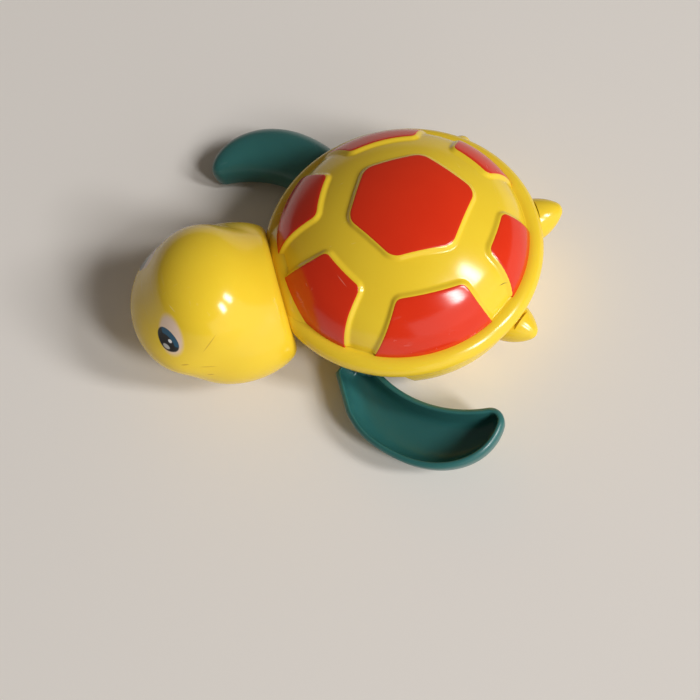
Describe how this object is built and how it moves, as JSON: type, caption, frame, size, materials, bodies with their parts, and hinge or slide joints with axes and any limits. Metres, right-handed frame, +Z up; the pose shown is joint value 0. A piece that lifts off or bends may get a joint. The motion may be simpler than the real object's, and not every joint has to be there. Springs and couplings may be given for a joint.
{
  "type": "wind-up turtle bath toy",
  "caption": "Domed turtle bath toy with raised shell panels, a broad rounded head and scoop flippers on a cross shaft, driven by a clockwork inside a closed hull.",
  "frame": {"origin": "middle of the belly's flat resting face, on the dome's axis", "axes": "+X forward to the head, +Y to the turtle's left, +Z up"},
  "size_m": [0.1094, 0.11, 0.0415],
  "materials": {
    "shell_yellow": "glossy moulded plastic with fine scuffs",
    "scute_red": "glossy red-orange plastic with fine scuffs",
    "flipper_teal": "glossy dark teal plastic",
    "gear_white": "natural acetal",
    "gearbox_grey": "dark moulded plastic",
    "steel": "bright steel"
  },
  "bodies": {
    "hull": {"upper_shell": "shell_yellow", "belly_pan": "shell_yellow", "head": "shell_yellow", "scute_centre": "scute_red", "scute_front_left": "scute_red", "scute_front_right": "scute_red", "scute_left": "scute_red", "scute_right": "scute_red", "scute_rear_left": "scute_red", "scute_rear_right": "scute_red", "gearbox_left": "gearbox_grey", "gearbox_right": "gearbox_grey", "body_screws": "steel", "gearbox_screws": "steel", "mount_screws": "steel"},
    "paddles": {"cross_shaft": "steel", "output_pinion": "gear_white", "left_flipper": "flipper_teal", "right_flipper": "flipper_teal"},
    "intermediate": {"intermediate_gear": "gear_white", "intermediate_pin": "steel"},
    "arbor": {"spring_arbor": "steel", "great_wheel": "gear_white", "mainspring": "steel"}
  },
  "joints": [
    {"name": "flippers_turn", "type": "hinge", "parent": "hull", "child": "paddles", "pos_m": [0.0152, 0, 0.0075], "axis": [0, 1, 0], "continuous": true},
    {"name": "intermediate_turn", "type": "hinge", "parent": "hull", "child": "intermediate", "pos_m": [0.00901, 0, 0.01635], "axis": [0, 1, 0], "continuous": true},
    {"name": "arbor_turn", "type": "hinge", "parent": "hull", "child": "arbor", "pos_m": [-0.00459, 0, 0.01874], "axis": [0, 1, 0], "continuous": true}
  ],
  "couplings": [
    {"joint": "intermediate_turn", "follows": "flippers_turn", "ratio": -0.5},
    {"joint": "arbor_turn", "follows": "flippers_turn", "ratio": 0.13889}
  ]
}
